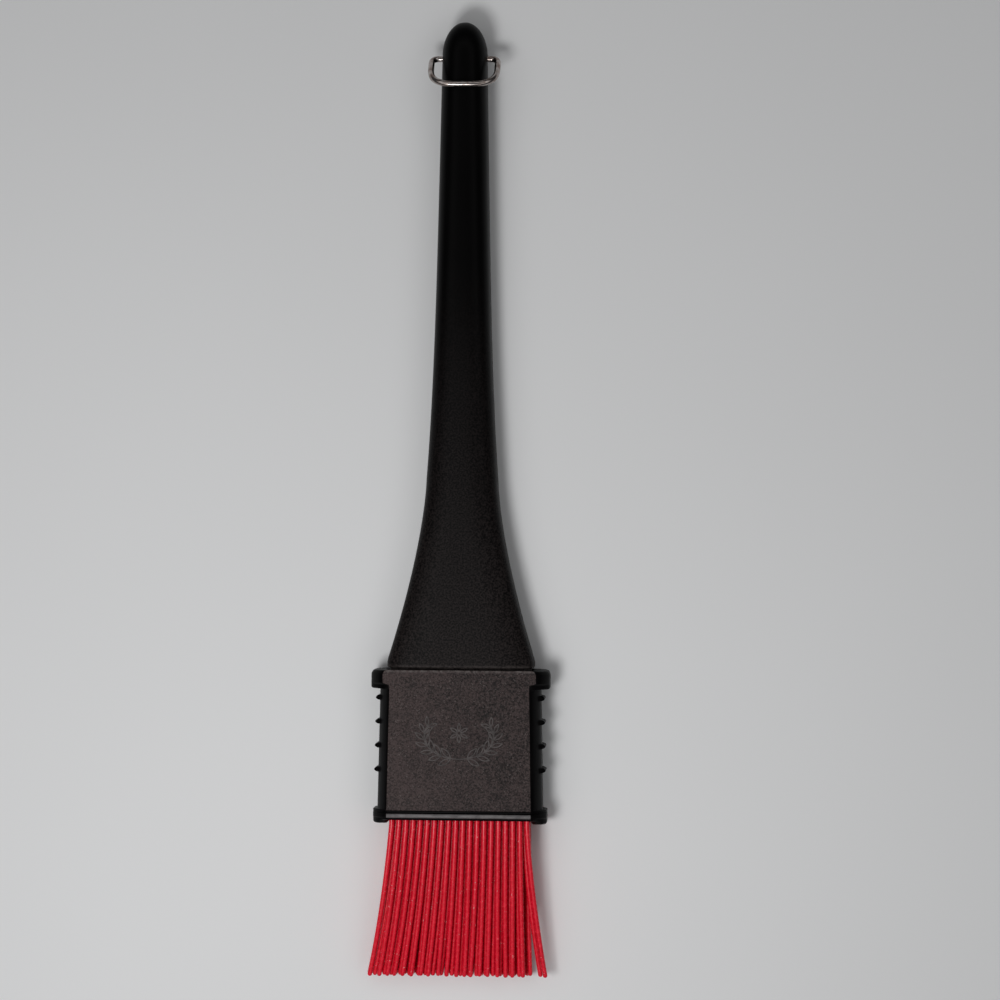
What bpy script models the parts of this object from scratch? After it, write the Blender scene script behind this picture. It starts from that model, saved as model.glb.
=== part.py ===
"""Silicone pastry brush with a pull-off head, lying on its back.

X runs across the brush, Y along it with the hanging ring at +Y and the bristle tips at -Y, and Z up out of
the front face. The origin is under the middle of the brush, on the surface that it lies on.
"""

import math
import random

import bmesh
import bpy
import numpy as np

MM = 0.001

# Lengths along the brush, from the ring end to the bristle tips.
TIP_LENGTH = 10.0 * MM
GRIP_LENGTH = 124.0 * MM
FLARE_LENGTH = 53.0 * MM
SHOULDER_LENGTH = 1.9 * MM
JOINT_GAP = 0.7 * MM
SLEEVE_LENGTH = 45.0 * MM
BRISTLE_LENGTH = 45.4 * MM

# Handle.
END_WIDTH = 13.2 * MM
NECK_WIDTH = 21.0 * MM
SHOULDER_INSET = 1.95 * MM
FLUSH_STEP = 0.2 * MM
END_POWER = 2.3
NECK_POWER = 2.9
SHOULDER_POWER = 4.6
SWELL_EVEN = 0.6
SWELL_POWER = 4.5
FLARE_POWER = 1.5
END_CHAMFER = 0.4 * MM
TONGUE_POWER = 8.0
TONGUE_LEAD = 1.5 * MM
POCKET_COUNT = 3
POCKET_DEPTH = 2.2 * MM
POCKET_RIB = 3.0 * MM
POCKET_SIDE_WALL = 5.1 * MM

# Hanging ring.
RING_WIRE = 1.8 * MM
RING_SIDE_GAP = 2.2 * MM
RING_FROM_TIP = 10.7 * MM
RING_TIP_GAP = 0.35 * MM
RING_ARM = 3.6 * MM
RING_BEND = 2.0 * MM
RING_BOW_POWER = 3.4
RING_END_GAP = 2.5 * MM
BORE_CLEARANCE = 0.25 * MM
REST_GAP = 0.12 * MM

# Head sleeve.
SLEEVE_DEPTH = 16.0 * MM
BODY_WIDTH = 47.0 * MM
BODY_FLARE = 0.65 * MM
EDGE_ROUND = 3.2 * MM
EDGE_ROUND_DEPTH = 5.0 * MM
EDGE_STEP = 0.4 * MM
LUG_HEIGHT = 5.5 * MM
LUG_STAND = 2.65 * MM
LUG_CORNER = 0.9 * MM
COLLAR_PANEL = 4.0 * MM
COLLAR_ROUND = 3.9 * MM
RIM_HEIGHT = 4.5 * MM
RIM_STAND = 1.3 * MM
GROOVE_DROP = 0.45 * MM
GROOVE_HEIGHT = 0.9 * MM
GROOVE_DEPTH = 0.7 * MM
BEAD_HEIGHT = 1.25 * MM
MOUTH_SETBACK = 1.15 * MM
SETBACK_RUN = 1.2 * MM
SETBACK_START = 3.6 * MM
SETBACK_END = 6.0 * MM
RIDGE_COUNT = 4
RIDGE_FIRST = 8.2 * MM
RIDGE_PITCH = 7.0 * MM
RIDGE_HEIGHT = 1.6 * MM
RIDGE_STAND = 1.15 * MM
RIDGE_DEPTH = 9.0 * MM
RIDGE_ROOT = 0.9 * MM
RIDGE_ROUND = 0.4 * MM
SOCKET_WALL = 2.1 * MM
SOCKET_SIDE_WALL = 2.6 * MM
CHAMBER_WALL = 1.85 * MM
CHAMBER_SIDE_WALL = 1.5 * MM
CHAMBER_HEADROOM = 1.5 * MM
INNER_ROUND = 1.0 * MM
LEAD_IN = 0.5 * MM
SLIDE_CLEARANCE = 0.3 * MM

# Retainer and bristle rows.
RETAINER_HEIGHT = 5.8 * MM
RETAINER_GAP = 0.4 * MM
RETAINER_ROUND = 1.1 * MM
ROW_COUNT = 5
FRONT_ROW_BRISTLES = 20
ROOT_DIAMETER = 1.6 * MM
TIP_DIAMETER = 1.34 * MM
TIP_ROW_GAP = 0.22 * MM
BAR_GAP = 0.3 * MM
BAR_HEIGHT = 7.5 * MM
BAR_CATCH = 0.8 * MM
ROOT_SUNK = 1.9 * MM
LIP_HEIGHT = 4.2 * MM
MOUTH_CLEARANCE = 0.35 * MM
LOWEST_TIP = 0.9 * MM
FAN = 3.9 * MM
SWEEP = -2.7 * MM
LEAN_START = 0.6
BEND_POWER = 1.3
STRAY_SPLAY = (4.5 * MM, 4.2 * MM, -0.7 * MM, 0.0, -0.7 * MM)
STRAY_POWER = 1.5
TIP_WANDER = 0.5 * MM
LENGTH_WANDER = 0.3 * MM
DOME_HEIGHT = 0.4 * MM
SEED = 7

# How finely the round shapes are divided.
HANDLE_POINTS = 24
TIP_STEPS = 5
GRIP_STEPS = 8
FLARE_STEPS = 7
BORE_SIDES = 16
CORNER_STEPS = 4
BEND_STEPS = 3
BOW_STEPS = 12
BRISTLE_SIDES = 6

# Places along the brush that follow from the sizes above.
HANDLE_LENGTH = TIP_LENGTH + GRIP_LENGTH + FLARE_LENGTH + SHOULDER_LENGTH
OVERALL_LENGTH = HANDLE_LENGTH + JOINT_GAP + SLEEVE_LENGTH + BRISTLE_LENGTH
TIP_Y = OVERALL_LENGTH / 2
SLEEVE_Y = TIP_Y - HANDLE_LENGTH - JOINT_GAP
BAR_END = SLEEVE_LENGTH - LIP_HEIGHT - SLIDE_CLEARANCE
BAR_START = BAR_END - BAR_HEIGHT
RETAINER_END = BAR_START - SLIDE_CLEARANCE
RETAINER_START = RETAINER_END - RETAINER_HEIGHT
TONGUE_LENGTH = JOINT_GAP + RETAINER_START - RETAINER_GAP
RIM_TOP = SLEEVE_LENGTH - RIM_HEIGHT
GROOVE_TOP = RIM_TOP + GROOVE_DROP
BEAD_TOP = GROOVE_TOP + GROOVE_HEIGHT
BEAD_END = BEAD_TOP + BEAD_HEIGHT

# Widths and depths that follow.
AXIS_Z = SLEEVE_DEPTH / 2
HANDLE_DEPTH = SLEEVE_DEPTH - 2 * FLUSH_STEP
SHOULDER_WIDTH = BODY_WIDTH - 2 * SHOULDER_INSET
SOCKET_HALF_WIDTH = BODY_WIDTH / 2 - SOCKET_SIDE_WALL
SOCKET_HALF_DEPTH = AXIS_Z - SOCKET_WALL
CHAMBER_HALF_WIDTH = BODY_WIDTH / 2 - CHAMBER_SIDE_WALL
CHAMBER_HALF_DEPTH = AXIS_Z - CHAMBER_WALL
BAR_HALF_WIDTH = CHAMBER_HALF_WIDTH - SLIDE_CLEARANCE
STACK_HALF_DEPTH = CHAMBER_HALF_DEPTH - SLIDE_CLEARANCE
ROW_PITCH = (2 * STACK_HALF_DEPTH + BAR_GAP) / ROW_COUNT
TIP_ROW_PITCH = TIP_DIAMETER + TIP_ROW_GAP
MOUTH_HALF_WIDTH = BAR_HALF_WIDTH - BAR_CATCH
ROW_HALF_WIDTH = MOUTH_HALF_WIDTH - MOUTH_CLEARANCE - ROOT_DIAMETER / 2
BRISTLE_PITCH = 2 * ROW_HALF_WIDTH / (FRONT_ROW_BRISTLES - 1)
MOUTH_HALF_DEPTH = (ROW_COUNT - 1) * ROW_PITCH / 2 + ROOT_DIAMETER / 2 + MOUTH_CLEARANCE
RING_REACH = RING_FROM_TIP + RING_WIRE / 2 + RING_TIP_GAP
RING_HALF_SPAN = END_WIDTH / 2 + RING_SIDE_GAP + RING_WIRE / 2
CUT_MARGIN = 2.0 * MM


def clear_objects():
    for item in list(bpy.data.objects):
        bpy.data.objects.remove(item, do_unlink=True)


def new_collection(name):
    collection = bpy.data.collections.new(name)
    bpy.context.scene.collection.children.link(collection)
    return collection


def material(name, colour, roughness, metallic=0.0):
    made = bpy.data.materials.new(name)
    made.use_nodes = True
    shader = made.node_tree.nodes["Principled BSDF"]
    shader.inputs["Base Color"].default_value = (*colour, 1.0)
    shader.inputs["Roughness"].default_value = roughness
    shader.inputs["Metallic"].default_value = metallic
    made.diffuse_color = (*colour, 1.0)
    return made


def mesh_object(name, bm, collection, finish=None, sharp=40.0):
    """Turns a bmesh into a named object, shaded smooth but for edges sharper than the angle."""
    bmesh.ops.recalc_face_normals(bm, faces=bm.faces)
    mesh = bpy.data.meshes.new(name)
    bm.to_mesh(mesh)
    bm.free()
    mesh.shade_smooth()
    mesh.set_sharp_from_angle(angle=math.radians(sharp))
    if finish:
        mesh.materials.append(finish)
    item = bpy.data.objects.new(name, mesh)
    collection.objects.link(item)
    return item


def mark_cutter(item):
    item.hide_render = True
    item.display_type = "WIRE"
    return item


def boolean(target, tool, operation):
    modifier = target.modifiers.new(f"{operation.lower()}_{tool.name}", "BOOLEAN")
    modifier.operation = operation
    modifier.solver = "EXACT"
    modifier.object = tool


def add_box(bm, centre, size):
    """Adds a box to a bmesh and returns its corners."""
    corners = bmesh.ops.create_cube(bm, size=1.0)["verts"]
    bmesh.ops.scale(bm, vec=size, verts=corners)
    bmesh.ops.translate(bm, vec=centre, verts=corners)
    return corners


def superellipse(half_width, half_depth, power, count):
    """Points around |x/a|^n + |z/b|^n = 1, from +X towards +Z."""
    points = []
    for i in range(count):
        turn = 2 * math.pi * i / count
        c, s = math.cos(turn), math.sin(turn)
        x = half_width * math.copysign(abs(c) ** (2 / power), c)
        z = half_depth * math.copysign(abs(s) ** (2 / power), s)
        points.append((x, z))
    return points


def rounded_rectangle(half_width, half_depth, round_x, round_z):
    """Points around a rectangle whose corners are quarter ellipses, from +X towards +Z."""
    points = []
    for quarter, (sx, sz) in enumerate(((1, 1), (-1, 1), (-1, -1), (1, -1))):
        for step in range(CORNER_STEPS + 1):
            turn = math.pi / 2 * (quarter + step / CORNER_STEPS)
            x = sx * (half_width - round_x) + round_x * math.cos(turn)
            z = sz * (half_depth - round_z) + round_z * math.sin(turn)
            points.append((x, z))
    return points


def add_ring(bm, y, outline):
    return [bm.verts.new((x, y, AXIS_Z + z)) for x, z in outline]


def bridge(bm, first, second):
    """Joins two rings of the same number of points with a band of quads."""
    count = len(first)
    for i in range(count):
        j = (i + 1) % count
        bm.faces.new((first[i], first[j], second[j], second[i]))


# Handle


def grip_width(distance):
    """Full width of the handle at a distance from its tip, past the rounded end."""
    along = (distance - TIP_LENGTH) / GRIP_LENGTH
    if along <= 1.0:
        swell = SWELL_EVEN * along + (1 - SWELL_EVEN) * along**SWELL_POWER
        return END_WIDTH + (NECK_WIDTH - END_WIDTH) * swell
    flare = min(1.0, (along - 1.0) * GRIP_LENGTH / FLARE_LENGTH)
    return NECK_WIDTH + (SHOULDER_WIDTH - NECK_WIDTH) * flare**FLARE_POWER


def grip_power(distance):
    """How square the handle's section is at a distance from its tip."""
    stations = (TIP_LENGTH, TIP_LENGTH + GRIP_LENGTH, TIP_LENGTH + GRIP_LENGTH + FLARE_LENGTH)
    return float(np.interp(distance, stations, (END_POWER, NECK_POWER, SHOULDER_POWER)))


def handle_section(distance):
    """Half width, half depth and squareness at a distance from the tip, whose outline is an ellipse."""
    half_width = grip_width(max(distance, TIP_LENGTH)) / 2
    half_depth = HANDLE_DEPTH / 2
    if distance < TIP_LENGTH:
        share = math.sqrt(1 - (1 - distance / TIP_LENGTH) ** 2)
        half_width *= share
        half_depth *= share
    return half_width, half_depth, grip_power(distance)


def handle_stations():
    """Distances from the tip at which the handle has a section."""
    tip = [TIP_LENGTH * (1 - math.cos(math.pi / 2 * i / TIP_STEPS)) for i in range(1, TIP_STEPS)]
    grip = [TIP_LENGTH + GRIP_LENGTH * i / GRIP_STEPS for i in range(GRIP_STEPS + 1)]
    flare_start = TIP_LENGTH + GRIP_LENGTH
    flare = [flare_start + FLARE_LENGTH * i / FLARE_STEPS for i in range(1, FLARE_STEPS + 1)]
    return tip + grip + flare + [HANDLE_LENGTH - END_CHAMFER]


def handle_mesh():
    bm = bmesh.new()
    rings = []
    for distance in handle_stations():
        half_width, half_depth, power = handle_section(distance)
        outline = superellipse(half_width, half_depth, power, HANDLE_POINTS)
        rings.append(add_ring(bm, TIP_Y - distance, outline))
    half_width, half_depth, power = handle_section(HANDLE_LENGTH)
    end = superellipse(half_width - END_CHAMFER, half_depth - END_CHAMFER, power, HANDLE_POINTS)
    rings.append(add_ring(bm, TIP_Y - HANDLE_LENGTH, end))
    tongue_x = SOCKET_HALF_WIDTH - SLIDE_CLEARANCE
    tongue_z = SOCKET_HALF_DEPTH - SLIDE_CLEARANCE
    tongue_end = TIP_Y - HANDLE_LENGTH - TONGUE_LENGTH
    for y, inset in (
        (TIP_Y - HANDLE_LENGTH, 0.0),
        (tongue_end + TONGUE_LEAD, 0.0),
        (tongue_end, TONGUE_LEAD / 2),
    ):
        outline = superellipse(tongue_x - inset, tongue_z - inset, TONGUE_POWER, HANDLE_POINTS)
        rings.append(add_ring(bm, y, outline))
    pole = bm.verts.new((0, TIP_Y, AXIS_Z))
    for i, corner in enumerate(rings[0]):
        bm.faces.new((pole, rings[0][(i + 1) % HANDLE_POINTS], corner))
    for first, second in zip(rings, rings[1:]):
        bridge(bm, first, second)
    bm.faces.new(rings[-1])
    return bm


def tongue_pockets(cutters):
    """Recesses that keep the tongue's wall thin, on both its faces, with ribs between them."""
    bm = bmesh.new()
    start = TIP_Y - HANDLE_LENGTH - POCKET_RIB
    length = TONGUE_LENGTH - TONGUE_LEAD - 2 * POCKET_RIB
    room = 2 * (SOCKET_HALF_WIDTH - POCKET_SIDE_WALL)
    width = (room - (POCKET_COUNT - 1) * POCKET_RIB) / POCKET_COUNT
    face = SOCKET_HALF_DEPTH - SLIDE_CLEARANCE
    for i in range(POCKET_COUNT):
        x = (i - (POCKET_COUNT - 1) / 2) * (width + POCKET_RIB)
        for side in (-1, 1):
            z = AXIS_Z + side * (face - POCKET_DEPTH + CUT_MARGIN)
            add_box(bm, (x, start - length / 2, z), (width, length, 2 * CUT_MARGIN))
    return mark_cutter(mesh_object("tongue_pockets", bm, cutters))


def ring_bore(cutters):
    """Cross hole for the ends of the ring."""
    bm = bmesh.new()
    radius = RING_WIRE / 2 + BORE_CLEARANCE
    bmesh.ops.create_cone(
        bm,
        cap_ends=True,
        segments=BORE_SIDES,
        radius1=radius,
        radius2=radius,
        depth=END_WIDTH + 2 * CUT_MARGIN,
    )
    item = mark_cutter(mesh_object("ring_bore", bm, cutters))
    item.rotation_euler = (0, math.pi / 2, 0)
    item.location = (0, TIP_Y - RING_FROM_TIP, AXIS_Z)
    return item


def make_handle(parts, cutters, plastic):
    handle = mesh_object("handle", handle_mesh(), parts, plastic)
    boolean(handle, ring_bore(cutters), "DIFFERENCE")
    boolean(handle, tongue_pockets(cutters), "DIFFERENCE")
    return handle


# Hanging ring


def ring_rest_angle():
    """Angle above the handle's front at which the folded ring's bar lies on that face."""
    rise = HANDLE_DEPTH / 2 + REST_GAP + RING_WIRE / 2
    return math.asin(rise / RING_REACH)


def ring_route():
    """Centre line of the ring in its own plane, pivot along X and reach along -Y."""
    half = [(RING_END_GAP / 2, 0.0)]
    for step in range(BEND_STEPS + 1):
        turn = math.pi / 2 * step / BEND_STEPS
        across = RING_HALF_SPAN - RING_BEND + RING_BEND * math.sin(turn)
        half.append((across, RING_BEND * (1 - math.cos(turn))))
    bow = RING_REACH - RING_ARM
    for step in range(BOW_STEPS + 1):
        turn = math.pi / 2 * step / BOW_STEPS
        across = RING_HALF_SPAN * math.cos(turn) ** (2 / RING_BOW_POWER)
        reach = RING_ARM + bow * math.sin(turn) ** (2 / RING_BOW_POWER)
        half.append((across, reach))
    mirrored = [(-x, reach) for x, reach in reversed(half[:-1])]
    return [(x, -reach, 0.0) for x, reach in half + mirrored]


def make_ring(parts, metal):
    curve = bpy.data.curves.new("hanging_ring", "CURVE")
    curve.dimensions = "3D"
    curve.bevel_depth = RING_WIRE / 2
    curve.bevel_resolution = 2
    curve.use_fill_caps = True
    route = ring_route()
    spline = curve.splines.new("POLY")
    spline.points.add(len(route) - 1)
    for point, place in zip(spline.points, route):
        point.co = (*place, 1.0)
    curve.materials.append(metal)
    ring = bpy.data.objects.new("hanging_ring", curve)
    ring.location = (0, TIP_Y - RING_FROM_TIP, AXIS_Z)
    ring.rotation_euler = (-ring_rest_angle(), 0, 0)
    parts.objects.link(ring)
    return ring


# Head sleeve


def body_half_width(below):
    """Half width of the sleeve's body, which widens a little towards the mouth."""
    share = (below - LUG_HEIGHT) / (RIM_TOP - LUG_HEIGHT)
    return BODY_WIDTH / 2 + BODY_FLARE * share


def outer_sections():
    """Sleeve's outside: place below its top, half width, half depth and the corner's round across."""
    body = BODY_WIDTH / 2
    lug = body + LUG_STAND
    mouth = body + BODY_FLARE
    rim = mouth + RIM_STAND
    face = SLEEVE_DEPTH / 2
    groove = face - GROOVE_DEPTH
    lug_edge = LUG_STAND + EDGE_ROUND
    rim_edge = RIM_STAND + EDGE_ROUND
    return (
        (0.0, lug - LUG_CORNER, face - EDGE_STEP, COLLAR_ROUND),
        (EDGE_STEP, lug - LUG_CORNER / 3, face, COLLAR_ROUND),
        (EDGE_STEP + LUG_CORNER, lug, face, COLLAR_ROUND),
        (COLLAR_PANEL, lug, face, COLLAR_ROUND),
        (COLLAR_PANEL + EDGE_STEP, lug, face, lug_edge),
        (LUG_HEIGHT, lug, face, lug_edge),
        (LUG_HEIGHT + EDGE_STEP, body, face, EDGE_ROUND),
        (RIM_TOP, mouth, face, EDGE_ROUND),
        (RIM_TOP + EDGE_STEP / 2, rim, face, rim_edge),
        (GROOVE_TOP, rim, face, rim_edge),
        (GROOVE_TOP + EDGE_STEP / 2, rim, groove, rim_edge),
        (BEAD_TOP - EDGE_STEP / 2, rim, groove, rim_edge),
        (BEAD_TOP, rim, face, rim_edge),
        (BEAD_END, rim, face, rim_edge),
        (BEAD_END + EDGE_STEP, rim, groove, rim_edge),
        (SLEEVE_LENGTH - EDGE_STEP, rim, groove, rim_edge),
        (SLEEVE_LENGTH, rim - EDGE_STEP, groove - EDGE_STEP, rim_edge - EDGE_STEP),
    )


def inner_sections():
    """Sleeve's inside from the mouth up, as half widths and depths: lip, bar chamber, tongue socket."""
    lip_top = SLEEVE_LENGTH - LIP_HEIGHT
    chamber_top = BAR_START - CHAMBER_HEADROOM
    return (
        (SLEEVE_LENGTH, MOUTH_HALF_WIDTH + LEAD_IN, MOUTH_HALF_DEPTH + LEAD_IN),
        (SLEEVE_LENGTH - LEAD_IN, MOUTH_HALF_WIDTH, MOUTH_HALF_DEPTH),
        (lip_top, MOUTH_HALF_WIDTH, MOUTH_HALF_DEPTH),
        (lip_top, CHAMBER_HALF_WIDTH, CHAMBER_HALF_DEPTH),
        (chamber_top, CHAMBER_HALF_WIDTH, CHAMBER_HALF_DEPTH),
        (chamber_top - LEAD_IN, SOCKET_HALF_WIDTH, SOCKET_HALF_DEPTH),
        (LEAD_IN, SOCKET_HALF_WIDTH, SOCKET_HALF_DEPTH),
        (0.0, SOCKET_HALF_WIDTH + LEAD_IN, SOCKET_HALF_DEPTH + LEAD_IN),
    )


def mouth_setback(below, z):
    """How much shorter the front and back walls are than the sides, past the bead and up the corners."""
    past_bead = (below - BEAD_END) / SETBACK_RUN
    up_corner = (abs(z) - SETBACK_START) / (SETBACK_END - SETBACK_START)
    return MOUTH_SETBACK * min(1.0, max(0.0, past_bead)) * min(1.0, max(0.0, up_corner))


def add_sleeve_ring(bm, below, outline):
    top = SLEEVE_Y - below
    return [bm.verts.new((x, top + mouth_setback(below, z), AXIS_Z + z)) for x, z in outline]


def finger_ridges(cutters):
    """Grip ridges on both narrow sides, sunk a little into the wall that they join."""
    bm = bmesh.new()
    width = RIDGE_STAND + RIDGE_ROOT
    for i in range(RIDGE_COUNT):
        below = RIDGE_FIRST + i * RIDGE_PITCH
        for side in (-1, 1):
            x = side * (body_half_width(below) + RIDGE_STAND - width / 2)
            add_box(bm, (x, SLEEVE_Y - below, AXIS_Z), (width, RIDGE_HEIGHT, RIDGE_DEPTH))
    item = mark_cutter(mesh_object("finger_ridges", bm, cutters))
    bevel = item.modifiers.new("rounding", "BEVEL")
    bevel.width = RIDGE_ROUND
    bevel.segments = 1
    return item


def make_sleeve(parts, cutters, plastic):
    bm = bmesh.new()
    rings = []
    for below, half_width, half_depth, edge in outer_sections():
        outline = rounded_rectangle(half_width, half_depth, edge, EDGE_ROUND_DEPTH)
        rings.append(add_sleeve_ring(bm, below, outline))
    for below, half_width, half_depth in inner_sections():
        outline = rounded_rectangle(half_width, half_depth, INNER_ROUND, INNER_ROUND)
        rings.append(add_sleeve_ring(bm, below, outline))
    for first, second in zip(rings, rings[1:] + rings[:1]):
        bridge(bm, first, second)
    sleeve = mesh_object("head_sleeve", bm, parts, plastic)
    boolean(sleeve, finger_ridges(cutters), "UNION")
    return sleeve


def make_retainer(parts, plastic):
    """Block between the tongue's end and the bars of the bristle rows."""
    bm = bmesh.new()
    size = (
        2 * (SOCKET_HALF_WIDTH - SLIDE_CLEARANCE),
        RETAINER_HEIGHT,
        2 * (SOCKET_HALF_DEPTH - SLIDE_CLEARANCE),
    )
    add_box(bm, (0, SLEEVE_Y - (RETAINER_START + RETAINER_END) / 2, AXIS_Z), size)
    block = mesh_object("bar_retainer", bm, parts, plastic)
    bevel = block.modifiers.new("rounding", "BEVEL")
    bevel.width = RETAINER_ROUND
    bevel.segments = 2
    return block


# Bristle rows


def row_depth(row, share):
    """Height of a row's centre line, at a share of the way from the bars to the tips."""
    from_front = (ROW_COUNT - 1) / 2 - row
    root = AXIS_Z + from_front * ROW_PITCH
    tip = LOWEST_TIP + TIP_DIAMETER / 2 + (ROW_COUNT - 1 - row) * TIP_ROW_PITCH
    return root + (tip - root) * share**BEND_POWER


def bristle_line(row, index, count, chance):
    """Centre line of one bristle: inside its bar, at the sleeve's mouth, halfway along and at the tip."""
    root_x = (index - (count - 1) / 2) * BRISTLE_PITCH
    place = root_x / ROW_HALF_WIDTH
    stray = STRAY_SPLAY[row] if index == count - 1 else 0.0
    wander = TIP_WANDER * chance.uniform(-1, 1)
    free = BRISTLE_LENGTH - LENGTH_WANDER * chance.random()
    points = [(root_x, SLEEVE_Y - BAR_END + ROOT_SUNK, row_depth(row, 0.0))]
    for share in (0.0, 0.5, 1.0):
        lean = (SWEEP + FAN * place) * share * (LEAN_START + (1 - LEAN_START) * share)
        x = root_x + lean + stray * share**STRAY_POWER + wander * share**2
        points.append((x, SLEEVE_Y - SLEEVE_LENGTH - free * share, row_depth(row, share)))
    return points


def add_bristle(bm, line):
    """Adds a tapered round bristle with a pointed dome at its end, along a line of points."""
    radii = (ROOT_DIAMETER / 2, ROOT_DIAMETER / 2, (ROOT_DIAMETER + TIP_DIAMETER) / 4, TIP_DIAMETER / 2)
    rings = []
    for (x, y, z), radius in zip(line, radii):
        if radius == radii[-1]:
            y += DOME_HEIGHT
        turns = [2 * math.pi * i / BRISTLE_SIDES for i in range(BRISTLE_SIDES)]
        rings.append([bm.verts.new((x + radius * math.cos(t), y, z + radius * math.sin(t))) for t in turns])
    for first, second in zip(rings, rings[1:]):
        bridge(bm, first, second)
    bm.faces.new(rings[0])
    pole = bm.verts.new(line[-1])
    for i in range(BRISTLE_SIDES):
        bm.faces.new((rings[-1][i], rings[-1][(i + 1) % BRISTLE_SIDES], pole))


def make_row(row, parts, cutters, silicone, chance):
    """One silicone comb: a bar and its bristles. Every second row has one less, set half a pitch over."""
    count = FRONT_ROW_BRISTLES - row % 2
    bm = bmesh.new()
    for index in range(count):
        add_bristle(bm, bristle_line(row, index, count, chance))
    bristles = mark_cutter(mesh_object(f"bristles_{row + 1}", bm, cutters))
    bm = bmesh.new()
    centre = (0, SLEEVE_Y - (BAR_START + BAR_END) / 2, row_depth(row, 0.0))
    add_box(bm, centre, (2 * BAR_HALF_WIDTH, BAR_HEIGHT, ROW_PITCH - BAR_GAP))
    comb = mesh_object(f"bristle_row_{row + 1}", bm, parts, silicone)
    boolean(comb, bristles, "UNION")
    return comb


def main():
    clear_objects()
    parts = new_collection("pastry_brush")
    cutters = new_collection("cutters")
    handle_black = material("handle_black", (0.012, 0.011, 0.011), 0.42)
    sleeve_black = material("sleeve_black", (0.030, 0.025, 0.024), 0.48)
    inner_black = material("inner_black", (0.02, 0.02, 0.02), 0.5)
    ring_steel = material("ring_steel", (0.55, 0.53, 0.52), 0.15, 1.0)
    silicone_red = material("silicone_red", (0.52, 0.012, 0.022), 0.4)

    make_handle(parts, cutters, handle_black)
    make_ring(parts, ring_steel)
    head = bpy.data.objects.new("head_slide", None)
    head.location = (0, SLEEVE_Y, AXIS_Z)
    parts.objects.link(head)
    chance = random.Random(SEED)
    pieces = [make_sleeve(parts, cutters, sleeve_black), make_retainer(parts, inner_black)]
    for row in range(ROW_COUNT):
        pieces.append(make_row(row, parts, cutters, silicone_red, chance))
    for piece in pieces:
        piece.parent = head
        piece.matrix_parent_inverse.translation = (0, -SLEEVE_Y, -AXIS_Z)


main()
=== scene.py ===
"""Looks of a silicone pastry brush lying on its back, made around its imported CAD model.

X runs across the brush, Y along it with the hanging ring at +Y and the bristle tips at -Y, and Z up out of
the front face. Everything is in metres. Every new piece is a surface worked out as whole arrays.
"""

import math
import random

import bpy
import numpy as np
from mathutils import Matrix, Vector


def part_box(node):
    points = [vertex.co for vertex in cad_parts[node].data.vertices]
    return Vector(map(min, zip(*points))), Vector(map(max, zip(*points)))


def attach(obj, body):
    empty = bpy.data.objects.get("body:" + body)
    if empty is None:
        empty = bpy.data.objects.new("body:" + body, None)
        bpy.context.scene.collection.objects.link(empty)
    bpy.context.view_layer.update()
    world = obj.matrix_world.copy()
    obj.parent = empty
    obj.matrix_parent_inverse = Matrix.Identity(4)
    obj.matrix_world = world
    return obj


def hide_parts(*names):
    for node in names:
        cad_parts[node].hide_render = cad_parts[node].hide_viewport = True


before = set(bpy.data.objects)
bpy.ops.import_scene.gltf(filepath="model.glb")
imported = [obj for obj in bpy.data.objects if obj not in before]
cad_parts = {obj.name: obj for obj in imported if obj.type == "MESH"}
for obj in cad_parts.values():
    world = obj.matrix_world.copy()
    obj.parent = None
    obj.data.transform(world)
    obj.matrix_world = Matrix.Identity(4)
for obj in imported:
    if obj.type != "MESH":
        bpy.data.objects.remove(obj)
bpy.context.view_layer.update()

MM = 0.001

# Places that the frame gives.
HANDLE_LOW, HANDLE_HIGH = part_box("handle")
SLEEVE_LOW, SLEEVE_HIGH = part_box("head_sleeve")
TIP_Y = HANDLE_HIGH.y
TONGUE_END_Y = HANDLE_LOW.y
SLEEVE_Y = SLEEVE_HIGH.y
SLEEVE_LENGTH = SLEEVE_HIGH.y - SLEEVE_LOW.y
AXIS_Z = (SLEEVE_LOW.z + SLEEVE_HIGH.z) / 2
FACE = SLEEVE_HIGH.z - AXIS_Z

# Handle.
TIP_LENGTH = 10.0 * MM
GRIP_LENGTH = 124.0 * MM
FLARE_LENGTH = 53.0 * MM
SWELL_EVEN = 0.6
SWELL_POWER = 4.5
FLARE_POWER = 1.5
JOINT_GAP = 0.7 * MM
HANDLE_LENGTH = TIP_Y - SLEEVE_Y - JOINT_GAP
END_WIDTH = 13.2 * MM
NECK_WIDTH = 21.0 * MM
SHOULDER_WIDTH = 43.1 * MM
HANDLE_HALF_DEPTH = FACE - 0.2 * MM
END_POWER = 2.3
NECK_POWER = 2.9
SHOULDER_POWER = 4.6
END_EDGE = 0.35 * MM
TONGUE_HALF_WIDTH = 20.6 * MM
TONGUE_HALF_DEPTH = 5.6 * MM
TONGUE_POWER = 8.0
TONGUE_ROOT = 0.4 * MM
TONGUE_START = 1.0 * MM
TONGUE_LEAD = 1.5 * MM
POCKET_COUNT = 3
POCKET_DEPTH = 2.2 * MM
POCKET_RIB = 3.0 * MM
POCKET_WIDTH = 8.5 * MM
POCKET_EDGE = 0.6 * MM
POCKET_POWER = 10.0
BORE_RADIUS = 1.15 * MM
BORE_FLARE = 0.3 * MM
BORE_FLARE_START = 6.1 * MM
BORE_FLARE_RUN = 0.6 * MM
BORE_START = 5.5 * MM
BORE_END = 9.0 * MM

# Hanging ring.
RING_WIRE = 1.8 * MM
RING_FROM_TIP = 10.7 * MM
RING_REACH = 12.15 * MM
RING_HALF_SPAN = 9.7 * MM
RING_ARM = 3.6 * MM
RING_BEND = 2.0 * MM
RING_BOW_POWER = 3.4
RING_END_GAP = 2.5 * MM
RING_REST_GAP = 0.12 * MM

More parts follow.
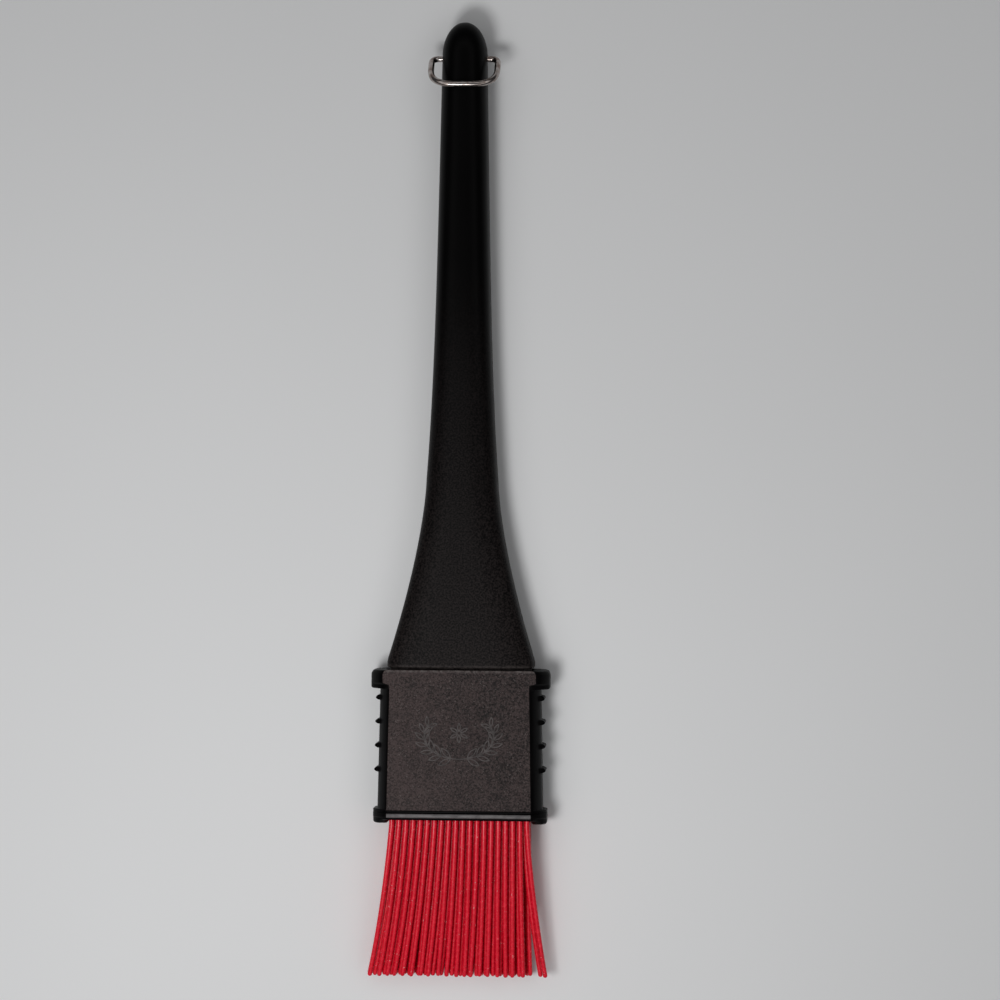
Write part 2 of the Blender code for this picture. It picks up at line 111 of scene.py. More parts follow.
# Head sleeve.
BODY_HALF_WIDTH = 23.5 * MM
BODY_FLARE = 0.65 * MM
LUG_HEIGHT = 5.5 * MM
LUG_STAND = 2.65 * MM
LUG_EASE = 0.3 * MM
EDGE_STEP = 0.2 * MM
COLLAR_PANEL = 4.0 * MM
COLLAR_ROUND = 3.9 * MM
COLLAR_STEP = 0.25 * MM
COLLAR_EASE = ((0.0, 1.3, 0.2), (0.25, 0.5, 0.0), (1.2, 0.0, 0.0))
EDGE_ROUND = 3.2 * MM
EDGE_ROUND_DEPTH = 5.0 * MM
EDGE_POWER = 1.36
RIM_TOP = 40.5 * MM
RIM_STAND = 1.3 * MM
MOUTH_SETBACK = 1.15 * MM
SETBACK_RUN = 1.2 * MM
SETBACK_START = 0.45 * FACE
SETBACK_END = 0.75 * FACE
GROOVE_TOP = 40.95 * MM
GROOVE_HEIGHT = 0.9 * MM
GROOVE_DEPTH = 0.7 * MM
BEAD_HEIGHT = 1.25 * MM
BEAD_SUNK = 0.01 * MM
BEAD_EDGE_SUNK = 0.14 * MM
EASED = 0.15 * MM
LIP_EASE = ((0.5, 0.0, 1.0), (0.1, 0.25, 1.1), (0.0, 0.7, 1.3))
RIDGE_PLACES = np.array([8.2, 15.2, 22.2, 29.2]) * MM
RIDGE_HEIGHT = 1.6 * MM
RIDGE_STAND = 1.15 * MM
RIDGE_POWER = 1.9
RIDGE_HALF_DEPTH = 4.5 * MM
RIDGE_SOFTNESS = 0.5 * MM
SOCKET_HALF = (20.9 * MM, 5.9 * MM)
CHAMBER_HALF = (22.0 * MM, 6.15 * MM)
MOUTH_HALF = (20.9 * MM, 5.95 * MM)
CHAMBER_TOP = 31.5 * MM
LIP_TOP = 40.8 * MM
INNER_ROUND = 1.0 * MM
LEAD_IN = 0.5 * MM

# Sprigs and rosette on the sleeve's face.
RELIEF_DROP = 20.4 * MM
RELIEF_RADIUS = 0.2 * MM
RELIEF_SUNK = 0.03 * MM
SPRIG_HALF_WIDTH = 10.2 * MM
SPRIG_HALF_HEIGHT = 6.6 * MM
SPRIG_LIFT = 1.2 * MM
LEAF_PAIRS = 7
LEAF_LEAN = math.radians(38)
LEAF_LENGTH = 3.9 * MM
LEAF_TAPER = 1.3 * MM
LEAF_GAP = 0.25 * MM
LEAF_FULLNESS = 0.17
PETAL_COUNT = 6
PETAL_START = 0.5 * MM
PETAL_LENGTH = 2.3 * MM
PETAL_HALF_WIDTH = 0.42 * MM
ROSETTE_LIFT = 2.2 * MM

# Bristle rows.
ROW_COUNT = 5
FRONT_ROW_BRISTLES = 20
ROW_PITCH = 2.4 * MM
ROW_HALF_WIDTH = 19.75 * MM
BRISTLE_PITCH = 2 * ROW_HALF_WIDTH / (FRONT_ROW_BRISTLES - 1)
ROOT_RADIUS = 0.8 * MM
TIP_RADIUS = 0.67 * MM
TIP_ROW_PITCH = 1.56 * MM
LOWEST_TIP = 0.9 * MM
BRISTLE_LENGTH = 45.38 * MM
LENGTH_WANDER = 0.3 * MM
TIP_WANDER = 0.5 * MM
FAN = 3.9 * MM
SWEEP = -2.7 * MM
LEAN_START = 0.6
BOW = 0.1 * MM
STRAY_SPLAY = (4.5 * MM, 4.2 * MM, -0.7 * MM, 0.0, -0.7 * MM)
STRAY_POWER = 1.5
BEND_POWER = 1.3
SEED = 7
BAR_TOP = 33.0 * MM
BAR_HEIGHT = 7.5 * MM
BAR_HALF_WIDTH = 21.7 * MM
BAR_HALF_DEPTH = 1.05 * MM
BAR_EDGE = 0.4 * MM
BAR_POWER = 9.0

# Studio.
FLOOR_HALF = 20.0
KEY_PLACE = (-0.10, -0.15, 0.45)
KEY_TARGET = (-0.01, -0.09, 0.0)
KEY_SIZE = 0.13
KEY_WATTS = 0.95
LENS = 121.85
SENSOR_WIDTH = 36.0
CAMERA_TARGET = Vector((11.05 * MM, 0.07 * MM, AXIS_Z))
CAMERA_DISTANCE = 0.992
CAMERA_LEAN = math.radians(3.2)
CAMERA_TURN = math.radians(0.36)

# How finely the surfaces are divided.
TIP_ROWS = 24
GRIP_ROWS = 160
TONGUE_ROWS = 20
HANDLE_POINTS = 176
BORE_SIDES = 40
WIRE_ROWS = 300
WIRE_END_ROWS = 4
WIRE_SIDES = 28
CORNER_POINTS = 13
SLEEVE_STEP = 0.16 * MM
OUTLINE_POINTS = 44
RELIEF_SIDES = 8
BRISTLE_ROWS = 26
BRISTLE_SIDES = 14


# Surfaces


def tube_faces(tubes, rows, sides, ring=False):
    """Quads between the rings of several tubes of equal grids, and triangles to a pole at each open end.

    Point numbers run tube by tube, row by row. The poles come after them, first all starts, then all ends.
    """
    grid = np.arange(tubes * rows * sides).reshape(tubes, rows, sides)
    ahead = np.roll(grid, -1, axis=1)
    if not ring:
        grid, ahead = grid[:, :-1], ahead[:, :-1]
    quads = np.stack([grid, np.roll(grid, -1, axis=2), np.roll(ahead, -1, axis=2), ahead], axis=-1)
    faces = [quads.reshape(-1, 4)]
    if not ring:
        whole = np.arange(tubes * rows * sides).reshape(tubes, rows, sides)
        starts = np.arange(tubes)[:, None] + tubes * rows * sides
        ends = starts + tubes
        first, last = whole[:, 0], whole[:, -1]
        starts, ends = np.broadcast_to(starts, first.shape), np.broadcast_to(ends, last.shape)
        faces.append(np.stack([starts, np.roll(first, -1, axis=1), first], axis=-1).reshape(-1, 3))
        faces.append(np.stack([ends, last, np.roll(last, -1, axis=1)], axis=-1).reshape(-1, 3))
    return faces


def tube_points(grid, ring=False):
    """The grid's points in one list, with the middle of each open end added as its pole."""
    points = grid.reshape(-1, 3)
    if ring:
        return points
    return np.concatenate([points, grid[:, 0].mean(axis=1), grid[:, -1].mean(axis=1)])


def volume(points, faces):
    """Signed volume: the sum over fan triangles of each triangle's triple product over six."""
    total = 0.0
    for group in faces:
        for corner in range(1, group.shape[1] - 1):
            a, b, c = points[group[:, 0]], points[group[:, corner]], points[group[:, corner + 1]]
            total += np.einsum("ij,ij->", a, np.cross(b, c)) / 6
    return total


def put_mesh(name, points, faces, finish=None, sharp=30.0):
    """Makes a mesh object from points and groups of quads and triangles, with its faces outwards."""
    if volume(points - points.mean(axis=0), faces) < 0:
        faces = [group[:, ::-1] for group in faces]
    corners = np.concatenate([group.ravel() for group in faces]).astype(np.int32)
    sizes = np.concatenate([np.full(len(group), group.shape[1]) for group in faces])
    mesh = bpy.data.meshes.new(name)
    mesh.vertices.add(len(points))
    mesh.vertices.foreach_set("co", points.astype(np.float32).ravel())
    mesh.loops.add(len(corners))
    mesh.loops.foreach_set("vertex_index", corners)
    mesh.polygons.add(len(sizes))
    mesh.polygons.foreach_set("loop_start", (np.cumsum(sizes) - sizes).astype(np.int32))
    mesh.update(calc_edges=True)
    mesh.shade_smooth()
    mesh.set_sharp_from_angle(angle=math.radians(sharp))
    if finish:
        mesh.materials.append(finish)
    item = bpy.data.objects.new(name, mesh)
    bpy.context.scene.collection.objects.link(item)
    return item


def put_tubes(name, grid, finish=None, ring=False, sharp=30.0):
    """Makes one mesh object from a grid of points: tube, row along it, place round it, X Y Z."""
    tubes, rows, sides = grid.shape[:3]
    return put_mesh(name, tube_points(grid, ring), tube_faces(tubes, rows, sides, ring), finish, sharp)


def combine(piece, tool, operation):
    """Cuts the tool out of the piece, or joins it on, then keeps the result and drops the tool."""
    modifier = piece.modifiers.new("combine", "BOOLEAN")
    modifier.operation = operation
    modifier.solver = "EXACT"
    modifier.object = tool
    graph = bpy.context.evaluated_depsgraph_get()
    result = bpy.data.meshes.new_from_object(piece.evaluated_get(graph))
    piece.modifiers.clear()
    piece.data = result
    bpy.data.objects.remove(tool)


def square_walk(count):
    """Directions to points spaced evenly round a square of side two, from the middle of its +X side.

    Across is a triangle wave of period eight clipped to one, and up is the same wave two units later.
    """
    turn = np.arange(count) * 8.0 / count
    across = np.clip(2 - np.abs((turn + 4) % 8 - 4), -1, 1)
    up = np.clip(2 - np.abs((turn + 2) % 8 - 4), -1, 1)
    return across, up


def squared_oval(half_width, half_depth, power, count):
    """Rings of points on |x/a|^n + |z/b|^n = 1, one ring for each entry of the three arrays."""
    across, up = square_walk(count)
    power = np.broadcast_to(np.asarray(power, float), np.shape(half_width))[:, None]
    reach = (np.abs(across) ** power + np.abs(up) ** power) ** (-1 / power)
    return half_width[:, None] * across * reach, half_depth[:, None] * up * reach


def slab(half_width, half_height, half_depth, edge, power, count=64):
    """Block that runs along Y: a squared oval, drawn in by a quarter circle at both ends."""
    turn = np.linspace(0, np.pi / 2, 5)
    straight = half_height - edge
    along = np.concatenate([-straight - edge * np.cos(turn), straight + edge * np.sin(turn)])
    inset = np.concatenate([edge * (1 - np.sin(turn)), edge * (1 - np.cos(turn))])
    x, z = squared_oval(half_width - inset, half_depth - inset, power, count)
    return np.stack([x, np.broadcast_to(along[:, None], x.shape), z], axis=-1)[None]


def carried_section(path, radius, up, sides):
    """Carries a circle along paths whose sections stand upright to `up`.

    A point is path + radius (cos t side + sin t rise), where side is the tangent crossed with up and rise
    is side crossed with the tangent.
    """
    tangent = np.gradient(path, axis=-2)
    tangent /= np.linalg.norm(tangent, axis=-1, keepdims=True)
    side = np.cross(tangent, up)
    side /= np.linalg.norm(side, axis=-1, keepdims=True)
    rise = np.cross(side, tangent)
    turn = 2 * np.pi * np.arange(sides) / sides
    sideways = np.cos(turn)[:, None] * side[..., None, :]
    upwards = np.sin(turn)[:, None] * rise[..., None, :]
    return path[..., None, :] + radius[..., None, None] * (sideways + upwards)


def even_steps(run, count):
    """The same run of points at even distances along it."""
    travelled = np.concatenate([[0.0], np.cumsum(np.linalg.norm(np.diff(run, axis=0), axis=1))])
    places = np.linspace(0, travelled[-1], count)
    return np.stack([np.interp(places, travelled, column) for column in run.T], axis=-1)


# Finishes


def new_finish(name, colour, roughness, metallic=0.0, specular=0.5):
    """A material whose even values sit on the shader itself. Returns it with its tree and shader."""
    finish = bpy.data.materials.new(name)
    finish.use_nodes = True
    tree = finish.node_tree
    shader = tree.nodes["Principled BSDF"]
    shader.inputs["Base Color"].default_value = (*colour, 1.0)
    shader.inputs["Roughness"].default_value = roughness
    shader.inputs["Metallic"].default_value = metallic
    shader.inputs["Specular IOR Level"].default_value = specular
    finish.diffuse_color = (*colour, 1.0)
    return finish, tree, shader


def add_node(tree, kind, links=None, values=None, **settings):
    """Adds a node, sets its properties and socket values, and links its inputs."""
    made = tree.nodes.new(kind)
    for name, value in settings.items():
        setattr(made, name, value)
    for socket, value in (values or {}).items():
        made.inputs[socket].default_value = value
    for socket, source in (links or {}).items():
        tree.links.new(source, made.inputs[socket])
    return made


def place_on_piece(tree, stretch=(1.0, 1.0, 1.0)):
    """Object coordinates, stretched along each axis."""
    place = add_node(tree, "ShaderNodeTexCoord").outputs["Object"]
    return add_node(tree, "ShaderNodeMapping", {"Vector": place}, {"Scale": stretch}).outputs["Vector"]


def noise(tree, place, scale, detail=2.0, roughness=0.5):
    values = {"Scale": scale, "Detail": detail, "Roughness": roughness}
    return add_node(tree, "ShaderNodeTexNoise", {"Vector": place}, values).outputs["Fac"]


def cells(tree, place, scale):
    return add_node(tree, "ShaderNodeTexVoronoi", {"Vector": place}, {"Scale": scale}).outputs["Distance"]


def remap(tree, source, low, high, to_low=0.0, to_high=1.0):
    values = {"From Min": low, "From Max": high, "To Min": to_low, "To Max": to_high}
    return add_node(tree, "ShaderNodeMapRange", {"Value": source}, values).outputs["Result"]


def calculate(tree, operation, first, second):
    """Adds, multiplies and so on two values, where either may be a plain number."""
    made = add_node(tree, "ShaderNodeMath", operation=operation)
    for socket, value in enumerate((first, second)):
        if isinstance(value, (int, float)):
            made.inputs[socket].default_value = value
        else:
            tree.links.new(value, made.inputs[socket])
    return made.outputs["Value"]


def mix_colours(tree, share, first, second):
    made = add_node(tree, "ShaderNodeMix", data_type="RGBA")
    tree.links.new(share, made.inputs["Factor"])
    for socket, colour in (("A", first), ("B", second)):
        target = next(s for s in made.inputs if s.name == socket and s.type == "RGBA")
        if isinstance(colour, tuple):
            target.default_value = (*colour, 1.0)
        else:
            tree.links.new(colour, target)
    return next(s for s in made.outputs if s.type == "RGBA")


def axis_value(tree, axis):
    place = add_node(tree, "ShaderNodeTexCoord").outputs["Object"]
    return add_node(tree, "ShaderNodeSeparateXYZ", {"Vector": place}).outputs[axis]


def bump(tree, shader, height, depth):
    made = add_node(tree, "ShaderNodeBump", {"Height": height}, {"Distance": depth, "Strength": 1.0})
    tree.links.new(made.outputs["Normal"], shader.inputs["Normal"])


def painted_edge_highlight(tree, place, inner_y, edge_y):
    """Share of a painted highlight along an edge: it rises from one Y to the edge at the other, broken up
    by noise.
    """
    near = remap(tree, axis_value(tree, "Y"), inner_y, edge_y)
    return calculate(tree, "MULTIPLY", near, remap(tree, noise(tree, place, 900.0), 0.4, 0.62, 0.25, 1.0))


def handle_finish():
    """Satin black moulding: smudged gloss, a fine grain that grows towards the shoulder, colour painted
    paler there as painted light, a painted highlight along the end edge, a parting line.
    """
    finish, tree, shader = new_finish("handle_black", (0.002, 0.0017, 0.0017), 0.4, specular=0.055)
    place = place_on_piece(tree)
    smudges = noise(tree, place, 45.0, 3.0)
    grain = noise(tree, place, 1900.0, 3.0, 0.65)
    along = remap(tree, axis_value(tree, "Y"), 0.07, -0.045)
    shine = calculate(tree, "ADD", remap(tree, smudges, 0.3, 0.7, -0.03, 0.03), 0.38)
    shine = calculate(tree, "ADD", shine, calculate(tree, "MULTIPLY", along, 0.08))
    tree.links.new(shine, shader.inputs["Roughness"])
    # Painted light: the colour is painted paler towards the shoulder, a painted pool of light that brings
    # out the grain's pale specks there.
    tone = calculate(tree, "MULTIPLY", remap(tree, grain, 0.41, 0.60, 0.05, 1.0), along)
    colour = mix_colours(tree, tone, (0.0009, 0.0008, 0.0009), (0.0215, 0.0172, 0.0168))
    shoulder_y = TIP_Y - HANDLE_LENGTH
    # Painted highlight along the handle's rounded end edge.
    edge_highlight = painted_edge_highlight(tree, place, shoulder_y + 0.9 * MM, shoulder_y + 0.2 * MM)
    colour = mix_colours(tree, edge_highlight, colour, (0.045, 0.038, 0.036))
    tree.links.new(colour, shader.inputs["Base Color"])
    off_line = calculate(tree, "ABSOLUTE", calculate(tree, "SUBTRACT", axis_value(tree, "Z"), AXIS_Z), 0.0)
    line = remap(tree, off_line, 0.0, 0.15 * MM, 1.4, 0.0)
    height = calculate(tree, "MULTIPLY", grain, calculate(tree, "ADD", along, 0.15))
    scratches = noise(tree, place_on_piece(tree, (900.0, 60.0, 900.0)), 1.0, 4.0, 0.7)
    height = calculate(tree, "ADD", height, calculate(tree, "MULTIPLY", scratches, 0.25))
    bump(tree, shader, calculate(tree, "ADD", height, line), 0.05 * MM)
    return finish


def sleeve_finish():
    """Brown-black moulding: a spark-eroded grain of small craters, painted paler on the left as a painted
    sheen, with painted glints and a painted highlight along the top edge.
    """
    finish, tree, shader = new_finish("sleeve_black", (0.025, 0.0145, 0.013), 0.5, specular=0.12)
    place = place_on_piece(tree)
    craters = cells(tree, place, 2100.0)
    fine = noise(tree, place, 1900.0, 3.0, 0.65)
    patches = noise(tree, place, 170.0, 3.0, 0.6)
    painted_glints = noise(tree, place, 2600.0, 1.0, 0.4)
    speckle = remap(tree, fine, 0.41, 0.60, 0.0, 0.75)
    tone = calculate(tree, "ADD", speckle, remap(tree, patches, 0.3, 0.7, 0.0, 0.25))
    # Painted sheen: the colour pales towards the left, where the lamp's sheen lies.
    painted_sheen = remap(tree, axis_value(tree, "X"), 6 * MM, -18 * MM, 0.0, 0.22)
    tone = calculate(tree, "ADD", tone, painted_sheen)
    colour = mix_colours(tree, tone, (0.0032, 0.0018, 0.0017), (0.0640, 0.0455, 0.0440))
    # Painted glints: sparse pale specks that stand for light catching the grain.
    colour = mix_colours(tree, remap(tree, painted_glints, 0.66, 0.74, 0.0, 0.6), colour, (0.150, 0.128, 0.122))
    # Painted highlight along the sleeve's rounded top edge.
    edge_highlight = painted_edge_highlight(tree, place, SLEEVE_Y - 0.9 * MM, SLEEVE_Y - 0.2 * MM)
    colour = mix_colours(tree, edge_highlight, colour, (0.130, 0.112, 0.108))
    tree.links.new(colour, shader.inputs["Base Color"])
    shine = calculate(
        tree,
        "ADD",
        remap(tree, fine, 0.3, 0.7, 0.42, 0.54),
        remap(tree, patches, 0.3, 0.7, -0.03, 0.03),
    )
    tree.links.new(shine, shader.inputs["Roughness"])
    height = calculate(tree, "ADD", calculate(tree, "MULTIPLY", craters, 0.8), fine)
    bump(tree, shader, height, 0.11 * MM)
    return finish


def flank_painted_shade_finish():
    """Smooth black sides of the sleeve, painted far darker than its face as painted shade, with a soft
    gloss and faint draw marks along them.
    """
    finish, tree, shader = new_finish("sleeve_flank_painted_shade", (0.0022, 0.0020, 0.0022), 0.4, specular=0.04)
    marks = noise(tree, place_on_piece(tree, (900.0, 120.0, 900.0)), 1.0, 3.0)
    tree.links.new(remap(tree, marks, 0.3, 0.7, 0.34, 0.46), shader.inputs["Roughness"])
    satin = remap(tree, marks, 0.35, 0.65)
    # Painted shade: the sides' colour is far darker than the face's.
    colour = mix_colours(tree, satin, (0.0012, 0.0011, 0.0013), (0.0028, 0.0024, 0.0026))
    tree.links.new(colour, shader.inputs["Base Color"])
    bump(tree, shader, marks, 0.02 * MM)
    return finish


def painted_highlight_finish(name, light, dark):
    """Raised parts of the same plastic, painted paler as a painted highlight where light catches them, in
    streaks that come and go.
    """
    finish, tree, shader = new_finish(name, light, 0.5, specular=0.34)
    marks = noise(tree, place_on_piece(tree, (420.0, 900.0, 900.0)), 1.0, 3.0, 0.6)
    tree.links.new(remap(tree, marks, 0.35, 0.65, 0.42, 0.56), shader.inputs["Roughness"])
    colour = mix_colours(tree, remap(tree, marks, 0.4, 0.66), light, dark)
    tree.links.new(colour, shader.inputs["Base Color"])
    bump(tree, shader, marks, 0.03 * MM)
    return finish


def retainer_finish():
    """Plain black moulding with faint flow marks."""
    finish, tree, shader = new_finish("inner_black", (0.018, 0.018, 0.018), 0.5)
    flow = noise(tree, place_on_piece(tree, (90.0, 600.0, 600.0)), 1.0, 3.0)
    tree.links.new(remap(tree, flow, 0.3, 0.7, 0.42, 0.58), shader.inputs["Roughness"])
    colour = mix_colours(tree, remap(tree, flow, 0.35, 0.65), (0.014, 0.014, 0.014), (0.024, 0.023, 0.022))
    tree.links.new(colour, shader.inputs["Base Color"])
    bump(tree, shader, flow, 0.03 * MM)
    return finish


def ring_finish():
    """Nickel-plated wire, browned where it is rubbed, with hairline scratches and tiny pits."""
    finish, tree, shader = new_finish("ring_nickel", (0.46, 0.41, 0.38), 0.16, metallic=1.0)
    place = place_on_piece(tree)
    stain = noise(tree, place, 420.0, 3.0, 0.6)
    pits = cells(tree, place, 1500.0)
    hair = noise(tree, place_on_piece(tree, (400.0, 5200.0, 5200.0)), 1.0, 2.0)
    colour = mix_colours(tree, remap(tree, stain, 0.40, 0.64), (0.52, 0.48, 0.46), (0.26, 0.20, 0.175))
    tree.links.new(colour, shader.inputs["Base Color"])
    shine = calculate(
        tree,
        "ADD",
        remap(tree, stain, 0.35, 0.7, 0.12, 0.28),
        remap(tree, hair, 0.5, 0.75, 0.0, 0.10),
    )
    tree.links.new(shine, shader.inputs["Roughness"])
    scratched = calculate(tree, "MULTIPLY", hair, 0.5)
    height = calculate(tree, "ADD", scratched, remap(tree, pits, 0.0, 0.2, -0.4, 0.0))
    bump(tree, shader, height, 0.012 * MM)
    return finish


def silicone_finish():
    """Satin red silicone: light runs a little into it, and it holds specks of dust."""
    finish, tree, shader = new_finish("silicone_red", (0.68, 0.007, 0.024), 0.25, specular=0.30)
    shader.inputs["Subsurface Weight"].default_value = 0.15
    shader.inputs["Subsurface Radius"].default_value = (1.0, 0.10, 0.10)
    shader.inputs["Subsurface Scale"].default_value = 0.7 * MM
    place = place_on_piece(tree)
    film = noise(tree, place, 900.0, 3.0, 0.6)
    dust = noise(tree, place, 2000.0, 1.0, 0.3)
    colour = mix_colours(tree, remap(tree, film, 0.35, 0.7), (0.65, 0.0050, 0.020), (0.80, 0.0100, 0.034))
    colour = mix_colours(tree, remap(tree, dust, 0.73, 0.78, 0.0, 0.8), colour, (0.85, 0.42, 0.42))
    tree.links.new(colour, shader.inputs["Base Color"])
    tree.links.new(remap(tree, film, 0.3, 0.7, 0.20, 0.32), shader.inputs["Roughness"])
    height = calculate(tree, "ADD", film, remap(tree, dust, 0.73, 0.78, 0.0, 0.8))
    bump(tree, shader, height, 0.03 * MM)
    return finish


def floor_finish():
    """Pale matt studio floor with the faintest unevenness of tone."""
    finish, tree, shader = new_finish("floor_paper", (0.80, 0.805, 0.81), 0.85, specular=0.2)
    tone = noise(tree, place_on_piece(tree), 6.0, 2.0)
    colour = mix_colours(tree, tone, (0.78, 0.785, 0.79), (0.82, 0.825, 0.83))
    tree.links.new(colour, shader.inputs["Base Color"])
    return finish


# Handle


def grip_width(distance):
    """Full width at distances from the tip: it swells slowly to the neck, then flares to the shoulder."""
    along = (distance - TIP_LENGTH) / GRIP_LENGTH
    swell = SWELL_EVEN * along + (1 - SWELL_EVEN) * np.clip(along, 0, 1) ** SWELL_POWER
    grip = END_WIDTH + (NECK_WIDTH - END_WIDTH) * swell
    flare = np.clip((distance - TIP_LENGTH - GRIP_LENGTH) / FLARE_LENGTH, 0, 1)
    shoulder = NECK_WIDTH + (SHOULDER_WIDTH - NECK_WIDTH) * flare**FLARE_POWER
    return np.where(along <= 1, grip, shoulder)


def handle_rows():
    """Half width, half depth, squareness and Y of each ring, from the rounded tip to the tongue's end."""
    tip = TIP_LENGTH * (1 - np.cos(np.radians(np.linspace(3, 87, TIP_ROWS))))
    body = np.linspace(TIP_LENGTH, HANDLE_LENGTH - END_EDGE, GRIP_ROWS)
    distance = np.concatenate([tip, body])
    share = np.sqrt(1 - np.clip(1 - distance / TIP_LENGTH, 0, 1) ** 2)
    width = grip_width(np.maximum(distance, TIP_LENGTH)) / 2 * share
    depth = HANDLE_HALF_DEPTH * share
    stations = np.cumsum([TIP_LENGTH, GRIP_LENGTH, FLARE_LENGTH])
    power = np.interp(distance, stations, (END_POWER, NECK_POWER, SHOULDER_POWER))
    turn = np.linspace(0, np.pi / 2, 7)[1:]
    edge = (
        width[-1] - END_EDGE * (1 - np.cos(turn)),
        depth[-1] - END_EDGE * (1 - np.cos(turn)),
        np.full(turn.shape, SHOULDER_POWER),
        HANDLE_LENGTH - END_EDGE * (1 - np.sin(turn)),
    )
    root = (
        TONGUE_HALF_WIDTH + TONGUE_ROOT * (1 - np.sin(turn)),
        TONGUE_HALF_DEPTH + TONGUE_ROOT * (1 - np.sin(turn)),
        np.full(turn.shape, TONGUE_POWER),
        HANDLE_LENGTH + TONGUE_ROOT * (1 - np.cos(turn)),
    )
    tongue_end = TIP_Y - TONGUE_END_Y
    reach = np.linspace(HANDLE_LENGTH + TONGUE_START, tongue_end - TONGUE_LEAD, TONGUE_ROWS)
    tongue = (
        np.full(reach.shape, TONGUE_HALF_WIDTH),
        np.full(reach.shape, TONGUE_HALF_DEPTH),
        np.full(reach.shape, TONGUE_POWER),
        reach,
    )
    nose = (
        TONGUE_HALF_WIDTH - TONGUE_LEAD / 2 * (1 - np.cos(turn)),
        TONGUE_HALF_DEPTH - TONGUE_LEAD / 2 * (1 - np.cos(turn)),
        np.full(turn.shape, TONGUE_POWER),
        tongue_end - TONGUE_LEAD * (1 - np.sin(turn)),
    )
    parts = ((width, depth, power, distance), edge, root, tongue, nose)
    half_width, half_depth, power, distance = (np.concatenate(column) for column in zip(*parts))
    return half_width, half_depth, power, TIP_Y - distance


def ring_bore():
    """Cross hole for the ring's ends: a tube along X whose radius flares by a square law at the surface."""
    half = np.linspace(BORE_START, BORE_END, 15)
    x = np.concatenate([-half[::-1], half])
    flare = np.clip((np.abs(x) - BORE_FLARE_START) / BORE_FLARE_RUN, 0, 1)
    radius = BORE_RADIUS + BORE_FLARE * flare**2
    path = np.stack([x, np.full(x.shape, TIP_Y - RING_FROM_TIP), np.full(x.shape, AXIS_Z)], axis=-1)
    return put_tubes("ring_bore", carried_section(path, radius, (0, 0, 1), BORE_SIDES)[None])


def tongue_pocket(column, side):
    """Recess that keeps the tongue's wall thin: a slab stood on end, over one face of the tongue."""
    length = TIP_Y - TONGUE_END_Y - HANDLE_LENGTH - TONGUE_LEAD - 2 * POCKET_RIB
    block = slab(POCKET_WIDTH / 2, POCKET_DEPTH, length / 2, POCKET_EDGE, POCKET_POWER)
    x = (column - (POCKET_COUNT - 1) / 2) * (POCKET_WIDTH + POCKET_RIB)
    y = TIP_Y - HANDLE_LENGTH - POCKET_RIB - length / 2
    place = np.array([x, y, AXIS_Z + side * TONGUE_HALF_DEPTH])
    return put_tubes(f"pocket_{column}_{side}", block[..., [0, 2, 1]] + place)


def make_handle(finish):
    """Squared ovals carried along Y from the round tip over the flared shoulder to the tongue."""
    half_width, half_depth, power, y = handle_rows()
    x, z = squared_oval(half_width, half_depth, power, HANDLE_POINTS)
    grid = np.stack([x, np.broadcast_to(y[:, None], x.shape), AXIS_Z + z], axis=-1)
    handle = put_tubes("handle_moulding", grid[None], finish)
    combine(handle, ring_bore(), "DIFFERENCE")
    for column in range(POCKET_COUNT):
        for side in (-1, 1):
            combine(handle, tongue_pocket(column, side), "DIFFERENCE")
    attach(handle, "handle")
    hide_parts("handle")


# Hanging ring


def ring_route():
    """Ring's centre line as across and reach: a quarter-circle bend, a short arm and a squared oval bow."""
    turn = np.linspace(0, np.pi / 2, 60)
    bend = np.stack([RING_HALF_SPAN - RING_BEND + RING_BEND * np.sin(turn), RING_BEND * (1 - np.cos(turn))])
    bow = np.stack(
        [
            RING_HALF_SPAN * np.cos(turn) ** (2 / RING_BOW_POWER),
            RING_ARM + (RING_REACH - RING_ARM) * np.sin(turn) ** (2 / RING_BOW_POWER),
        ]
    )
    half = np.concatenate([np.array([[RING_END_GAP / 2], [0.0]]), bend, bow], axis=1).T
    half = half[np.concatenate([[True], np.linalg.norm(np.diff(half, axis=0), axis=1) > 1e-6])]
    return np.concatenate([half, half[-2::-1] * (-1, 1)])


def make_ring(finish):
    """A round wire with eased ends, carried along the route, which tilts up from the pivot."""
    angle = math.asin((HANDLE_HALF_DEPTH + RING_REST_GAP + RING_WIRE / 2) / RING_REACH)
    across, reach = even_steps(ring_route(), WIRE_ROWS).T
    pivot_y = TIP_Y - RING_FROM_TIP
    path = np.stack([across, pivot_y - reach * math.cos(angle), AXIS_Z + reach * math.sin(angle)], axis=-1)
    row = np.arange(WIRE_ROWS)
    ends = np.minimum(row, row[::-1]) / WIRE_END_ROWS
    radius = RING_WIRE / 2 * np.sqrt(1 - np.clip(1 - ends, 0, 0.85) ** 2)
    wire = carried_section(path, radius, (0, math.sin(angle), math.cos(angle)), WIRE_SIDES)
    ring = put_tubes("ring_wire", wire[None], finish)
    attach(ring, "ring")
    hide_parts("hanging_ring")


# Head sleeve


def sleeve_columns(power):
    """Factors of a rounded rectangle's points, anticlockwise from the +X end of its first corner.

    Two say which end of the straight sides a point belongs to, and two how far along the corner's round it
    is, where |u|^n + |v|^n = 1.
    """
    turn = np.linspace(0, np.pi / 2, CORNER_POINTS)
    u, v = np.cos(turn) ** (2 / power), np.sin(turn) ** (2 / power)
    one = np.ones(turn.shape)
    wide = np.concatenate([[0.988], np.linspace(0.94, -0.94, 24), [-0.988]])
    narrow = np.linspace(1, -1, 12)[1:-1]
    flat, side = np.ones(wide.shape), np.ones(narrow.shape)
    columns = (
        (one, one, u, v),
        (wide, flat, 0 * flat, flat),
        (-one, one, -u[::-1], v[::-1]),
        (-side, narrow, -side, 0 * side),
        (-one, -one, -u, -v),
        (-wide, -flat, 0 * flat, -flat),
        (one, -one, u[::-1], -v[::-1]),
        (side, -narrow, side, 0 * side),
    )
    return [np.concatenate(factor) for factor in zip(*columns)]


